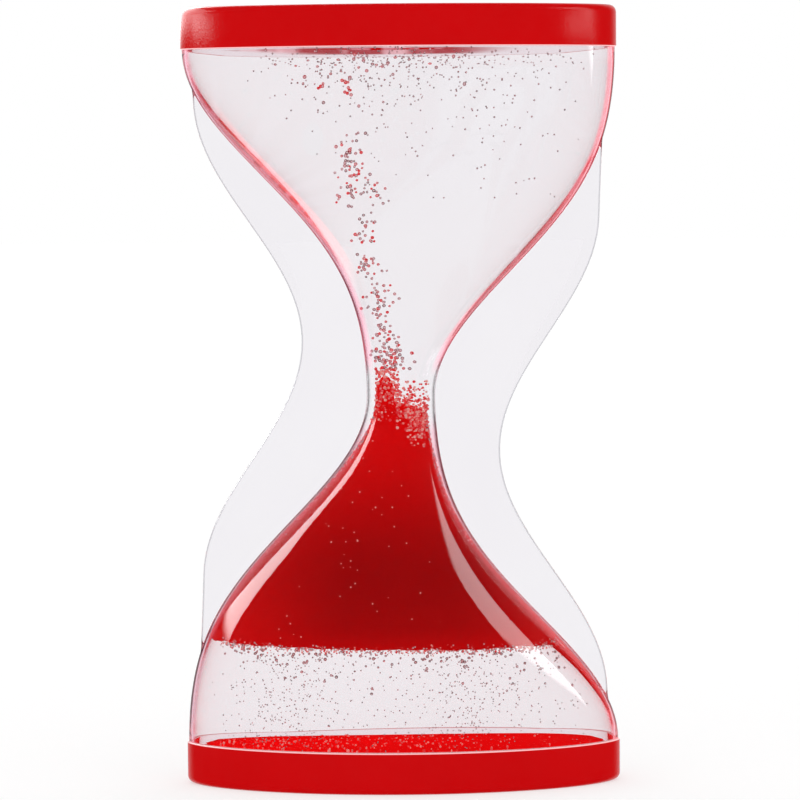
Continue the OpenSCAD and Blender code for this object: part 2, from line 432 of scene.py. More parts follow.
@dataclass(frozen=True)
class RedMoulding(Finish):
    """Glossy red moulded plastic of the caps and the end plugs."""

    name: str = "red_moulded_plastic"
    red: Colour = (0.64, 0.0015, 0.003)
    deep_red: Colour = (0.57, 0.001, 0.002)
    flow_grain: float = 14 * MM
    skin_grain: float = 0.45 * MM
    skin_depth: float = 0.045 * MM
    skin_strength: float = 0.5
    gloss: float = 0.12
    gloss_gain: float = 0.10
    gloss_grain: float = 1.8 * MM
    level: float = 0.10
    ior: float = PLASTIC_IOR
    # Strength of painted light: the face glows with its own colour
    glow: float = 0.0
    # Streaks of another colour that run from front to back
    mottle: Colour | None = None
    mottle_grain: float = 2.5 * MM
    mottle_along: Point = (1.0, 0.06, 1.0)
    mottle_fade: Span = (0.45, 0.6)
    # Sideways places between which the colour turns as pale as a rim
    pale_fade: Span | None = None
    # Pink specks in patches
    specks: bool = False
    speck_pitch: float = 1.1 * MM
    speck_fade: Span = (0.12, 0.2)
    speck_pink: Colour = (0.85, 0.20, 0.16)
    patch_grain: float = 6.6 * MM
    patch_fade: Span = (0.5, 0.62)
    # Height of a rim where a painted highlight shows as a pale line
    rim_z: float | None = None
    rim_highlight_fade: Span = (0.14 * MM, 0.2 * MM)
    rim_highlight_pale: Colour = (0.88, 0.52, 0.53)
    rim_highlight_glow: float = 0.25
    # Height of an end face that is matt
    end_z: float | None = None
    end_fade: Span = (0.0, 0.1 * MM)
    end_matt: float = 0.75

    def sockets(self, nodes: Nodes) -> dict[str, Any]:
        """Works out what the Principled shader gets.

        Args:
            nodes: Tree of the material.

        Returns:
            Values by the name of the socket.
        """
        colour = nodes.blend(nodes.cloud(self.flow_grain), self.red, self.deep_red)
        if self.mottle is not None:
            streaks = nodes.cloud(self.mottle_grain, self.mottle_along)
            colour = nodes.blend(streaks.ramp(*self.mottle_fade), colour, self.mottle)
        if self.pale_fade is not None:
            colour = nodes.blend(nodes.along("X").ramp(*self.pale_fade), colour, self.rim_highlight_pale)
        if self.specks:
            near = 1 - nodes.specks(self.speck_pitch).ramp(*self.speck_fade)
            in_patch = nodes.cloud(self.patch_grain).ramp(*self.patch_fade)
            colour = nodes.blend(near * in_patch, colour, self.speck_pink)
        # Painted light: the face glows with its own colour
        light, strength = colour, self.glow
        # Painted highlight: a pale glowing line along the rim, where its rounded edge would catch the light
        if self.rim_z is not None:
            on_rim_highlight = 1 - abs(nodes.along("Z") - self.rim_z).ramp(*self.rim_highlight_fade)
            colour = nodes.blend(on_rim_highlight, colour, self.rim_highlight_pale)
            light, strength = nodes.blend(on_rim_highlight, BLACK, self.rim_highlight_pale), self.rim_highlight_glow
        roughness = self.gloss + self.gloss_gain * nodes.cloud(self.gloss_grain)
        if self.end_z is not None:
            off_end = abs(nodes.along("Z") - self.end_z).ramp(*self.end_fade)
            roughness += self.end_matt * (1 - off_end)
        return {
            "Base Color": colour,
            "Emission Color": light,
            "Emission Strength": strength,
            "Roughness": roughness,
            "Normal": nodes.bump(nodes.cloud(self.skin_grain), self.skin_depth, self.skin_strength),
            "Specular IOR Level": self.level,
            "IOR": self.ior,
        }


@dataclass(frozen=True)
class GluedSkirt(Finish):
    """Inside of a cap's skirt, painted as a glow over a dark base in place of the light seen through the
    clear spigot: pale, with a mottled red band near the rim on the top cap's left.
    """

    name: str
    rim_z: float
    red_banded: bool
    pale: Colour = (0.91, 0.87, 0.89)
    milky: Colour = (0.89, 0.83, 0.85)
    red: Colour = (0.45, 0.07, 0.08)
    pink: Colour = (0.88, 0.52, 0.55)
    pink_fade: Span = (0.5, 0.64)
    # Dark base colour, so that the painted glow alone gives the skirt its look
    shade: Colour = (0.06, 0.05, 0.05)
    blotch_grain: float = 6 * MM
    # Borders of the red band: distances from the rim, and sideways places
    red_band_start: Span = (0.45 * MM, 0.85 * MM)
    red_band_end: Span = (2.2 * MM, 2.6 * MM)
    red_band_right: Span = (8 * MM, 22 * MM)
    roughness: float = 0.6

    def sockets(self, nodes: Nodes) -> dict[str, Any]:
        """Works out what the Principled shader gets.

        Args:
            nodes: Tree of the material.

        Returns:
            Values by the name of the socket.
        """
        patches = nodes.cloud(self.blotch_grain)
        colour = nodes.blend(patches, self.pale, self.milky)
        if self.red_banded:
            red_band = abs(nodes.along("Z") - self.rim_z).band(self.red_band_start, self.red_band_end)
            red_band *= 1 - nodes.along("X").ramp(*self.red_band_right)
            mottled = nodes.blend(patches.ramp(*self.pink_fade), self.red, self.pink)
            colour = nodes.blend(red_band, colour, mottled)
        # Painted light: the skirt's look is all emission
        return {
            "Base Color": self.shade,
            "Emission Color": colour,
            "Emission Strength": 1.0,
            "Roughness": self.roughness,
            "Specular IOR Level": 0.0,
        }


@dataclass(frozen=True)
class PackedBeads(Finish):
    """Close-packed red beads: a fine granular face with painted light and shade, lighter at the top, the
    bottom and the sides and darker in the middle.
    """

    name: str = "packed_red_beads"
    # Painted light and shade: the lit and shaded reds, and the heights and sideways places where the face
    # turns from one to the other
    bright: Colour = (0.95, 0.001, 0.002)
    dark: Colour = (0.50, 0.0, 0.001)
    top_fade: Span = (36 * MM, 60 * MM)
    low_fade: Span = (22 * MM, 36 * MM)
    low_share: float = 0.25
    side_fade: Span = (8 * MM, 28 * MM)
    side_share: float = 0.5
    foot_fade: Span = (23.6 * MM, 28.2 * MM)
    foot_share: float = 0.42
    grain: float = 0.6 * MM
    grain_red: Colour = (0.10, 0.0, 0.0)
    grain_share: float = 0.16
    grain_depth: float = 0.1 * MM
    grain_strength: float = 0.5
    roughness: float = 0.42
    rough_gain: float = 0.2
    # Painted light: the mass glows with its own colour
    glow: float = 0.12

    def sockets(self, nodes: Nodes) -> dict[str, Any]:
        """Works out what the Principled shader gets.

        Args:
            nodes: Tree of the material.

        Returns:
            Values by the name of the socket.
        """
        z = nodes.along("Z")
        # Painted light and shade: lighter at the top, low down and at the sides, darker in the middle
        aside = abs(nodes.along("X")).ramp(*self.side_fade)
        lit = z.ramp(*self.top_fade) + self.low_share * (1 - z.ramp(*self.low_fade)) + self.side_share * aside
        lit += self.foot_share * (1 - z.ramp(*self.foot_fade)) * (1 - aside)
        grains = nodes.specks(self.grain)
        colour = nodes.blend(lit, self.dark, self.bright)
        colour = nodes.blend(self.grain_share * grains, colour, self.grain_red)
        return {
            "Base Color": colour,
            "Emission Color": colour,
            "Emission Strength": self.glow,
            "Roughness": self.roughness + self.rough_gain * grains,
            "Normal": nodes.bump(1 - grains, self.grain_depth, self.grain_strength),
            "IOR": WET_IOR,
        }


@dataclass(frozen=True)
class LooseBeads(Finish):
    """Small translucent beads, from dark through greyish pink and red to pale by each bead's tone, with
    painted light: a glow, and a pale core on the clearer ones where light would come through.
    """

    name: str = "loose_red_beads"
    dark: Colour = (0.035, 0.022, 0.024)
    grey: Colour = (0.47, 0.22, 0.24)
    red: Colour = (0.90, 0.045, 0.055)
    pale: Colour = (0.97, 0.56, 0.50)
    lit_core: Colour = (0.96, 0.76, 0.77)
    # Tones between which a bead turns grey, red, pale and solid, and the part of it that shows the painted
    # light of its core
    grey_fade: Span = (0.0, 0.3)
    red_fade: Span = (0.3, 0.6)
    pale_fade: Span = (0.7, 1.0)
    solid_fade: Span = (0.4, 0.7)
    lit_core_fade: Span = (0.6, 1.0)
    roughness: float = 0.25
    rough_gain: float = 0.2
    rough_grain: float = 0.3 * MM
    # Painted light: the beads glow with their own colour
    glow: float = 0.18

    def sockets(self, nodes: Nodes) -> dict[str, Any]:
        """Works out what the Principled shader gets.

        Args:
            nodes: Tree of the material.

        Returns:
            Values by the name of the socket.
        """
        tone = nodes.painted(BEAD_TONE)
        colour = nodes.blend(tone.ramp(*self.grey_fade), self.dark, self.grey)
        colour = nodes.blend(tone.ramp(*self.red_fade), colour, self.red)
        colour = nodes.blend(tone.ramp(*self.pale_fade), colour, self.pale)
        clear = 1 - tone.ramp(*self.solid_fade)
        colour = nodes.blend(clear * nodes.painted(BEAD_LIT_CORE).ramp(*self.lit_core_fade), colour, self.lit_core)
        return {
            "Base Color": colour,
            "Emission Color": colour,
            "Emission Strength": self.glow,
            "Roughness": self.roughness + self.rough_gain * nodes.cloud(self.rough_grain),
            "IOR": WET_IOR,
        }


@dataclass(frozen=True)
class MilkyPlastic(Finish):
    """Milky plastic of the stopper."""

    name: str = "milky_plastic"
    pale: Colour = (0.80, 0.77, 0.72)
    cloudy: Colour = (0.70, 0.67, 0.63)
    grain: float = 2 * MM
    roughness: float = 0.35
    rough_gain: float = 0.15
    rough_grain: float = 0.5 * MM

    def sockets(self, nodes: Nodes) -> dict[str, Any]:
        """Works out what the Principled shader gets.

        Args:
            nodes: Tree of the material.

        Returns:
            Values by the name of the socket.
        """
        return {
            "Base Color": nodes.blend(nodes.cloud(self.grain), self.pale, self.cloudy),
            "Roughness": self.roughness + self.rough_gain * nodes.cloud(self.rough_grain),
        }


@dataclass(frozen=True)
class PaleFloor(Finish):
    """Pale matt floor with a little light of its own, so that it runs into the white behind it."""

    name: str = "pale_floor"
    white: Colour = (0.45, 0.45, 0.45)
    glow: float = 0.56

    def sockets(self, nodes: Nodes) -> dict[str, Any]:
        """What the Principled shader gets, by the name of its socket."""
        light = {"Emission Color": WHITE, "Emission Strength": self.glow}
        return {"Base Color": self.white, "Roughness": 1.0, "Specular IOR Level": 0.0, **light}


def put(name: str, data: bpy.types.ID) -> bpy.types.Object:
    """Makes an object and links it to the scene.

    Args:
        name: Name of the object.
        data: Its mesh, light or camera.

    Returns:
        The object.
    """
    made = bpy.data.objects.new(name, data)
    bpy.context.scene.collection.objects.link(made)
    return made


def paint_corners(mesh: bpy.types.Mesh, name: str, values: "np.ndarray | list[float]") -> None:
    """Makes a mesh hold a value at each corner under a name."""
    mesh.attributes.new(name, "FLOAT", "POINT").data.foreach_set("value", values)


def make_piece(
    name: str, points: list[Point], faces: list[Corners], finish: Finish, sharp_degrees: float = 40.0
) -> bpy.types.Object:
    """Makes a smooth-shaded mesh object with one finish.

    Args:
        name: Name of the piece.
        points: Corners in the frame's metres.
        faces: Corner numbers of each face.
        finish: The finish that it gets.
        sharp_degrees: Angle over which an edge stays sharp.

    Returns:
        The object, linked to the scene.
    """
    mesh = bpy.data.meshes.new(name)
    mesh.from_pydata(points, [], faces)
    shape = bmesh.new()
    shape.from_mesh(mesh)
    bmesh.ops.remove_doubles(shape, verts=shape.verts, dist=WELD)
    bmesh.ops.recalc_face_normals(shape, faces=shape.faces)
    shape.to_mesh(mesh)
    shape.free()
    mesh.shade_smooth()
    mesh.set_sharp_from_angle(angle=math.radians(sharp_degrees))
    piece = put(name, mesh)
    finish.dress(piece)
    return piece


def loft_sides(rings: int, around: int, looped: bool = False) -> list[Corners]:
    """Faces between closed rings of corners that follow each other.

    Args:
        rings: Number of rings.
        around: Number of corners in each ring.
        looped: True if the last ring runs on into the first.

    Returns:
        One four-sided face for each step along and round.
    """
    faces: list[Corners] = []
    for k in range(rings if looped else rings - 1):
        low, high = k * around, (k + 1) % rings * around
        faces += [(low + i, low + (i + 1) % around, high + (i + 1) % around, high + i) for i in range(around)]
    return faces


def loft_piece(
    name: str, rings: list[list[Point]], finish: Finish, sharp_degrees: float = 40.0, looped: bool = False
) -> bpy.types.Object:
    """Makes a piece of closed rings of corners that follow each other.

    Args:
        name: Name of the piece.
        rings: The rings, which all have as many corners.
        finish: The finish that it gets.
        sharp_degrees: Angle over which an edge stays sharp.
        looped: True if the last ring runs on into the first. Otherwise a face closes each of the two.

    Returns:
        The object, linked to the scene.
    """
    points = [point for ring in rings for point in ring]
    around = len(rings[0])
    faces = loft_sides(len(rings), around, looped)
    if not looped:
        faces += [tuple(range(around)), tuple(range(len(points) - around, len(points)))]
    return make_piece(name, points, faces, finish, sharp_degrees)


def settle(piece: bpy.types.Object, body: Body, slot: str, *nodes: str) -> None:
    """Sets what a piece rides on and hides the nodes that it stands for.

    Args:
        piece: The piece, in place.
        body: Body that it moves with.
        slot: Slot of the record that its finish comes from. Not used.
        nodes: Solids that it replaces.
    """
    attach(piece, body.value)
    if nodes:
        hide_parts(*nodes)
    LOG.info("%s: %d faces on %s", piece.name, len(piece.data.polygons), body.value)


@dataclass(frozen=True)
class Chamber:
    """Form of the clear body: its hollow, its walls and its flat side webs."""

    overall_h: float
    cap_w: float
    cap_d: float
    cap_h: float
    body_w: float
    body_d: float
    floor_z: float
    neck_w: float = 11.8 * MM
    neck_d: float = 11.2 * MM
    sway: float = 5.3 * MM
    wall: float = 1.2 * MM
    cap_skirt: float = 1.5 * MM
    cap_floor: float = 2.0 * MM
    glue_gap: float = 0.1 * MM
    spigot_gap: float = 0.3 * MM
    spigot_wall: float = 0.25 * MM
    plug_sink: float = 0.8 * MM
    plate: float = 1.6 * MM
    ledge_low: float = 0.3 * MM
    ledge_high: float = 2.4 * MM
    web_t: float = 2.0 * MM
    web_setback: float = 3.3 * MM
    web_flare: float = 2.0 * MM
    notch_depth: float = 16.9 * MM
    notch_shift: float = 9.8 * MM
    notch_half_h: float = 40.5 * MM
    lens_power: float = 1.25
    held_share: float = 0.985

    @classmethod
    def from_frame(cls) -> "Chamber":
        """Reads the chamber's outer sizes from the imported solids.

        Returns:
            The chamber.
        """
        low, high = CAD_BOX
        cap_low, cap_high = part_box("bottom_cap")
        shell_low, shell_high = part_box("front_shell")
        plug_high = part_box("lower_end_plug")[1]
        return cls(
            overall_h=high.z - low.z,
            cap_w=cap_high.x - cap_low.x,
            cap_d=cap_high.y - cap_low.y,
            cap_h=cap_high.z - cap_low.z,
            body_w=shell_high.x - shell_low.x,
            body_d=-2 * shell_low.y,
            floor_z=plug_high.z - cls.plug_sink,
        )

    @property
    def mid_z(self) -> float:
        """Height of the neck."""
        return self.overall_h / 2

    @property
    def roof_z(self) -> float:
        """Height of the upper plug's wet face."""
        return self.overall_h - self.floor_z

    @property
    def body_u(self) -> float:
        """Half the height between the caps' rims."""
        return self.mid_z - self.cap_h

    @property
    def spigot(self) -> Span:
        """Half sizes of the spigot that stands in a cap."""
        inset = self.cap_skirt + self.glue_gap
        return self.cap_w / 2 - inset, self.cap_d / 2 - inset

    @property
    def bore(self) -> Span:
        """Half sizes of the hollow inside a spigot."""
        half_w, half_d = self.spigot
        return half_w - self.spigot_wall, half_d - self.spigot_wall

    def from_end(self, end: End, z: float) -> float:
        """Height of what lies z in from an end of the timer."""
        return self.overall_h - z if end is End.TOP else z

    def rise(self, u: float) -> float:
        """Share of the way from the neck to a cap's rim."""
        return clamp01(abs(u) / self.body_u)

    def sway_x(self, u: float) -> float:
        """Sideways place of the chamber's middle at height u from the neck."""
        return math.copysign(self.sway, u) * math.sin(math.pi * self.rise(u)) ** 2

    def outside(self, z: float) -> tuple[float, float, float]:
        """Middle and half sizes of the chamber over its walls.

        Args:
            z: Height.

        Returns:
            Sideways place, half width and half depth.
        """
        u = z - self.mid_z
        swell = math.sin(math.pi / 2 * self.rise(u)) ** 2
        half_w, half_d = mix(self.neck_w, self.body_w, swell) / 2, mix(self.neck_d, self.body_d, swell) / 2
        return self.sway_x(u), half_w, half_d

    def hollow(self, z: float, gap: float = 0.0) -> tuple[float, float, float]:
        """Middle and half sizes of the hollow.

        Args:
            z: Height.
            gap: Distance to keep from the wall.

        Returns:
            Sideways place, half width and half depth.
        """
        to_rim = self.body_u - abs(z - self.mid_z)
        share = clamp01((to_rim - self.ledge_low) / (self.ledge_high - self.ledge_low))
        middle, *outer = self.outside(z)
        half_w, half_d = (mix(bore, half - self.wall, share) - gap for bore, half in zip(self.bore, outer))
        return middle, half_w, half_d

    def web_half_w(self, v: float) -> float:
        """Half width of a web.

        Args:
            v: Height from the neck, turned so that the notch lies at +notch_shift.

        Returns:
            The distance of its edge from the axis.
        """
        near = clamp01(abs(v - self.notch_shift) / self.notch_half_h)
        notch = self.notch_depth * (1 + math.cos(math.pi * near)) / 2
        return self.body_w / 2 - self.web_setback + self.web_flare * (v / self.body_u) ** 2 - notch

    def lens_depth(self, half_w: float, half_d: float, x: float) -> float:
        """Half depth of the lens-shaped plan at x from its middle."""
        share = clamp01(1 - (x / half_w) ** 2)
        return half_d * share ** (self.lens_power / 2)

    def lens_at(self, half_w: float, half_d: float, turn: float) -> Span:
        """Point of the lens-shaped plan at an angle in radians."""
        side = math.sin(turn)
        return half_w * math.cos(turn), half_d * math.copysign(abs(side) ** self.lens_power, side)

    def lens_ring(
        self, half_w: float, half_d: float, z: float, around: int, middle: float = 0.0
    ) -> list[Point]:
        """Ring of corners on the lens-shaped plan, whose middle lies at the given sideways place."""
        plan = [self.lens_at(half_w, half_d, turn) for turn in turns(around)]
        return [(middle + x, y, z) for x, y in plan]

    def inside(self, x: float, z: float, depth_share: float, margin: float) -> Point:
        """Point in the liquid.

        Args:
            x: Sideways place.
            z: Height.
            depth_share: Place between the front wall at -1 and the rear wall at 1.
            margin: Distance to keep from the wall.

        Returns:
            The point, drawn in from the side walls where x lies beyond them.
        """
        middle, half_w, half_d = self.hollow(z, margin)
        most = self.held_share * half_w
        held = max(-most, min(most, x - middle))
        return middle + held, depth_share * self.lens_depth(half_w, half_d, held), z


@dataclass
class ClearHalf:
    """One moulded half of the clear body, with its half of the webs and the spigots."""

    chamber: Chamber
    half: Half
    levels: int = 130
    lens_steps: int = 75
    edge_r: float = 0.35 * MM
    root_blend: float = 0.7 * MM
    seam_gap: float = 0.01 * MM
    # Faces that lie closer to the parting plane than this are welded to the other half
    seam_reach: float = 0.015 * MM
    wall_share: float = 0.1

    EDGE_SHARES = (0.0, 0.12, 0.35, 0.65, 1.0)
    WEB_STEPS = 5

    def heights(self) -> list[tuple[float, float, bool]]:
        """Lists the rings of the half from the bottom to the top.

        Returns:
            Height outside, height inside, and if the ring lies out of the caps.
        """
        c = self.chamber
        foot, mouth, ledge = c.cap_floor + c.spigot_gap, c.cap_h + c.ledge_low, c.cap_h + c.ledge_high
        halfway = c.cap_h + c.ledge_high / 2
        low = [
            (foot, foot, False),
            (c.floor_z, c.floor_z, False),
            (c.cap_h, c.cap_h + c.ledge_low / 2, False),
            (c.cap_h, mouth, True),
            (halfway, halfway, True),
            (ledge, ledge, True),
        ]
        middle = [mix(ledge, c.overall_h - ledge, i / self.levels) for i in range(1, self.levels)]
        high = [(c.overall_h - out, c.overall_h - into, free) for out, into, free in reversed(low)]
        return low + [(z, z, True) for z in middle] + high

    def across(self, left: float, right: float, middle: float, half_w: float) -> list[float]:
        """Sideways places of the outer corners, from the left edge to the right one.

        Args:
            left: Left edge of the web.
            right: Right edge of the web.
            middle: Middle of the chamber.
            half_w: Half width of the chamber.

        Returns:
            The places, none of them less than the one before.
        """
        shares = [i / self.WEB_STEPS for i in range(1, self.WEB_STEPS + 1)]
        insets = [self.edge_r * s for s in self.EDGE_SHARES]
        left_in = left + self.edge_r
        right_in = right - self.edge_r
        tip_left = max(left_in, middle - half_w)
        tip_right = min(right_in, middle + half_w)
        bends = [math.pi * (1 - i / self.lens_steps) for i in range(1, self.lens_steps)]
        places = [left + inset for inset in insets]
        places += [mix(left_in, tip_left, s) for s in shares]
        places += [max(tip_left, min(tip_right, middle + half_w * math.cos(t))) for t in bends]
        places += [mix(tip_right, right_in, s) for s in [0.0] + shares[:-1]]
        places += [right - inset for inset in reversed(insets)]
        return places

    def ring(self, z: float, inner_z: float, free: bool) -> list[Point]:
        """Corners of one ring, along the outside to the right and back along the hollow.

        Args:
            z: Height of the outer corners.
            inner_z: Height of the inner corners.
            free: True out of the caps, false on a spigot.

        Returns:
            The corners of the front half.
        """
        c = self.chamber
        u = z - c.mid_z
        middle, half_w, half_d = c.outside(z) if free else (0.0, *c.spigot)
        left = min(middle - half_w, -c.web_half_w(u)) if free else -half_w
        right = max(middle + half_w, c.web_half_w(-u)) if free else half_w
        outer = [(left, -self.seam_gap, z)]
        for x in self.across(left, right, middle, half_w):
            depth = smooth_max(c.lens_depth(half_w, half_d, x - middle), c.web_t / 2, self.root_blend)
            to_edge = min(x - left, right - x, self.edge_r)
            drop = self.edge_r - math.sqrt(max(0.0, self.edge_r**2 - (self.edge_r - to_edge) ** 2))
            outer.append((x, -(depth - drop), z))
        outer.append((right, -self.seam_gap, z))
        middle, half_w, half_d = c.hollow(inner_z)
        steps = len(outer) - 1
        plan = [c.lens_at(half_w, half_d, math.pi * i / steps) for i in range(steps + 1)]
        return outer + [(middle + x, -max(y, self.seam_gap), inner_z) for x, y in plan]

    def face_of(self, centre: Vector) -> Face:
        """Tells what lies on the other side of a face.

        Args:
            centre: Middle of the face.

        Returns:
            The kind of the face.
        """
        c = self.chamber
        if abs(centre.y) < self.seam_reach:
            return Face.WELDED
        middle, half_w, half_d = c.hollow(centre.z, -self.wall_share * c.wall)
        in_hollow = abs(centre.y) < c.lens_depth(half_w, half_d, centre.x - middle)
        return Face.WET if in_hollow and c.floor_z < centre.z < c.roof_z else Face.DRY

    def wall_inset(self, place: Vector) -> float:
        """Sideways distance of a corner in from the chamber's outer edge."""
        middle, half_w, _ = self.chamber.outside(place.z)
        return half_w - abs(place.x - middle)

    def web_inset(self, place: Vector) -> float:
        """Sideways distance of a corner in from the outer edge of the web beside it.

        Args:
            place: The corner.

        Returns:
            The distance.
        """
        c = self.chamber
        u = place.z - c.mid_z
        middle, half_w, _ = c.outside(place.z)
        if place.x < 0:
            return max(half_w - middle, c.web_half_w(u)) + place.x
        return max(half_w + middle, c.web_half_w(-u)) - place.x

    def build(self) -> None:
        """Makes the half and puts it in place of its solid."""
        rings = [self.ring(*level) for level in self.heights()]
        around = len(rings[0])
        faces = loft_sides(len(rings), around)
        for start in (0, (len(rings) - 1) * around):
            faces += [
                (start + i, start + i + 1, start + around - 2 - i, start + around - 1 - i)
                for i in range(around // 2 - 1)
            ]
        flip = -self.half.value
        points = [(x, flip * y, z) for ring in rings for x, y, z in ring]
        name = self.half.name.lower()
        piece = make_piece(f"clear_{name}_half", points, faces, ClearPlastic())
        kinds = list(Face)
        for kind in kinds[1:]:
            ClearPlastic(kind).dress(piece)
        for side in piece.data.polygons:
            side.material_index = kinds.index(self.face_of(side.center))
        for paint, value_at in ((WALL_INSET, self.wall_inset), (WEB_INSET, self.web_inset)):
            paint_corners(piece.data, paint, [value_at(corner.co) for corner in piece.data.vertices])
        settle(piece, Body.TIMER, "clear_body", f"{name}_shell")


@dataclass
class RedCap:
    """Red cap: a lens-shaped cup with a rounded outer edge and a softened rim."""

    chamber: Chamber
    end: End
    edge_r: float = 1.3 * MM
    rim_r: float = 0.25 * MM
    face_inset: float = 3 * MM
    inner_inset: float = 9 * MM
    steps: int = 6
    around: int = 200
    sharp_degrees: float = 50.0

    def profile(self) -> list[Span]:
        """Lists the rings from the outer face round the rim to the floor inside.

        Returns:
            Inset and distance from the timer's end of each ring.
        """
        c = self.chamber
        face = [(self.inner_inset, 0.0), (self.face_inset, 0.0)]
        edge = [(inset, z) for z, inset in rounding(self.edge_r, self.steps)]
        rim = [(inset, c.cap_h - drop) for inset, drop in rounding(self.rim_r, self.steps)]
        inside = [(c.cap_skirt, c.cap_h), (c.cap_skirt, c.cap_floor), (self.inner_inset, c.cap_floor)]
        return face + edge + rim + inside

    def build(self) -> None:
        """Makes the cap and puts it in place of its solid."""
        c = self.chamber
        rings = [
            c.lens_ring(c.cap_w / 2 - inset, c.cap_d / 2 - inset, c.from_end(self.end, z), self.around)
            for inset, z in self.profile()
        ]
        name = f"{self.end.value}_cap"
        end_z, rim_z = c.from_end(self.end, 0.0), c.from_end(self.end, c.cap_h)
        finish = RedMoulding(name=f"red_{name}_plastic", rim_z=rim_z, end_z=end_z)
        piece = loft_piece(f"red_{name}", rings, finish, self.sharp_degrees)
        GluedSkirt(f"glued_{name}_skirt", rim_z, red_banded=self.end is End.TOP).dress(piece)
        for side in piece.data.polygons:
            outward = side.normal.x * side.center.x + side.normal.y * side.center.y
            side.material_index = int(outward < -MM)
        settle(piece, Body.TIMER, "red_cap", name)


@dataclass
class EndPlug:
    """Red plug: a tray that stands on a cap's floor and closes the chamber with its plate."""

    chamber: Chamber
    end: End
    tray_wall: float = 1.6 * MM
    edge_r: float = 0.15 * MM
    fit: float = 0.05 * MM
    inner_inset: float = 9 * MM
    hole_r: float = 2.0 * MM
    steps: int = 4
    around: int = 200
    sharp_degrees: float = 50.0

    # The plugs' glow is painted light, in place of the light that reaches them through the clear body and the
    # liquid
    FLOOR = RedMoulding(
        name="wet_red_floor", red=(0.92, 0.002, 0.003), deep_red=(0.80, 0.001, 0.002),
        glow=0.3, specks=True, gloss=0.35, level=0.0, ior=WET_IOR,
    )
    ROOF = RedMoulding(
        name="wet_red_roof", mottle=(0.80, 0.28, 0.33), pale_fade=(12 * MM, 26 * MM),
        glow=0.35, gloss=0.35, level=0.0, ior=WET_IOR,
    )

    def profile(self) -> list[Span]:
        """Lists the rings from the plate's dry side round the tray to its wet face.

        Returns:
            Inset and distance from the timer's end of each ring.
        """
        c = self.chamber
        dry_z = c.floor_z - c.plate
        foot_z = c.cap_floor + self.fit
        tray = [(self.inner_inset, dry_z), (self.tray_wall, dry_z), (self.tray_wall, foot_z), (0.0, foot_z)]
        edge = [(inset, c.floor_z - drop) for inset, drop in rounding(self.edge_r, self.steps)]
        return tray + edge + [(self.inner_inset, c.floor_z)]

    def build(self) -> None:
        """Makes the plug, with the filling hole in the upper one, and puts it in place of its solid."""
        c = self.chamber
        top = self.end is End.TOP
        half_w, half_d = (size - self.fit for size in c.bore)
        rings = [
            c.lens_ring(half_w - inset, half_d - inset, c.from_end(self.end, z), self.around)
            for inset, z in self.profile()
        ]
        if top:
            hole = (c.floor_z, c.floor_z - c.plate)
            rings += [circle(self.hole_r, c.from_end(self.end, z), self.around) for z in hole]
        name = "upper_end_plug" if top else "lower_end_plug"
        finish = self.ROOF if top else self.FLOOR
        piece = loft_piece(f"red_{name}", rings, finish, self.sharp_degrees, looped=top)
        settle(piece, Body.TIMER, "red_plug", name)


@dataclass
class FillStopper:
    """Stopper of the filling hole: its shank fills the hole and its head lies on the plate's dry side."""

    chamber: Chamber
    shank_r: float = 1.9 * MM
    head_r: float = 3.5 * MM
    head_t: float = 1.2 * MM
    edge_r: float = 0.25 * MM
    seat_gap: float = 0.01 * MM
    around: int = 64

    def build(self) -> None:
        """Makes the stopper and puts it in place of its solid."""
        base = self.chamber.roof_z
        seat = base + self.chamber.plate + self.seat_gap
        top = seat + self.head_t
        profile = (
            (self.shank_r - self.edge_r, base), (self.shank_r, base + self.edge_r), (self.shank_r, seat),
            (self.head_r - self.edge_r, seat), (self.head_r, seat + self.edge_r),
            (self.head_r, top - self.edge_r), (self.head_r - self.edge_r, top),
        )
        rings = [circle(radius, z, self.around) for radius, z in profile]
        piece = loft_piece("milky_fill_stopper", rings, MilkyPlastic())
        settle(piece, Body.TIMER, "stopper", "fill_stopper")


@dataclass
class LiquidFilling:
    """The clear liquid, from the lower plug's wet face to the upper one's."""

    chamber: Chamber
    film: float = 0.02 * MM
    levels: int = 130
    around: int = 192

    def build(self) -> None:
        """Makes the liquid and puts it in place of its two solids."""
        c = self.chamber
        low = c.floor_z + self.film
        ledge = [c.cap_h + c.ledge_low, c.cap_h + c.ledge_high / 2, c.cap_h + c.ledge_high]
        high = [c.overall_h - z for z in reversed(ledge)]
        between = [mix(ledge[-1], high[0], i / self.levels) for i in range(1, self.levels)]
        rings = []
        for z in [low, *ledge, *between, *high, c.overall_h - low]:
            middle, half_w, half_d = c.hollow(z, self.film)
            rings.append(c.lens_ring(half_w, half_d, z, self.around, middle))
        piece = loft_piece("liquid_filling", rings, ClearLiquid())
        settle(piece, Body.TIMER, "liquid", "upper_liquid", "lower_liquid")


